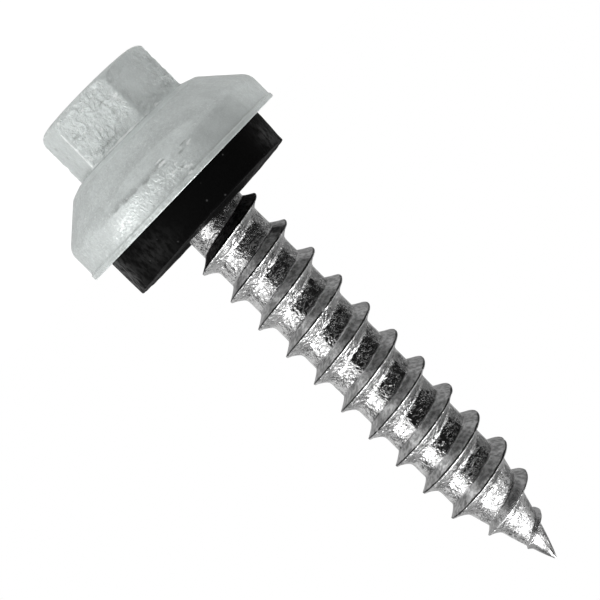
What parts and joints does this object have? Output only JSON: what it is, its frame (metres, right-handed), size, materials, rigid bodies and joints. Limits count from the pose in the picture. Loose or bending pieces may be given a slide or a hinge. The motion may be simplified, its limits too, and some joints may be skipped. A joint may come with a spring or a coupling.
{
  "type": "roofing screw",
  "caption": "Roofing screw with a crowned hex washer head, a captive domed metal washer, a thick black rubber seal and a coarse right-hand thread that runs out on a sharp gimlet point.",
  "frame": {"origin": "middle of the flat on the hex head's crown, which the screw stands on", "axes": "+Z along the screw from its head to its point; +X through a corner of the hex"},
  "size_m": [0.0126, 0.0126, 0.0333],
  "materials": {
    "zinc_steel": "satin",
    "painted_washer": "satin",
    "seal_rubber": "matte"
  },
  "bodies": {
    "screw": {"hex_screw": "zinc_steel"},
    "washer": {"dome_washer": "painted_washer", "sealing_washer": "seal_rubber"}
  },
  "joints": [
    {"name": "washer_spin", "type": "hinge", "parent": "screw", "child": "washer", "pos_m": [0, 0, 0.00332], "axis": [0, 0, 1], "continuous": true}
  ]
}
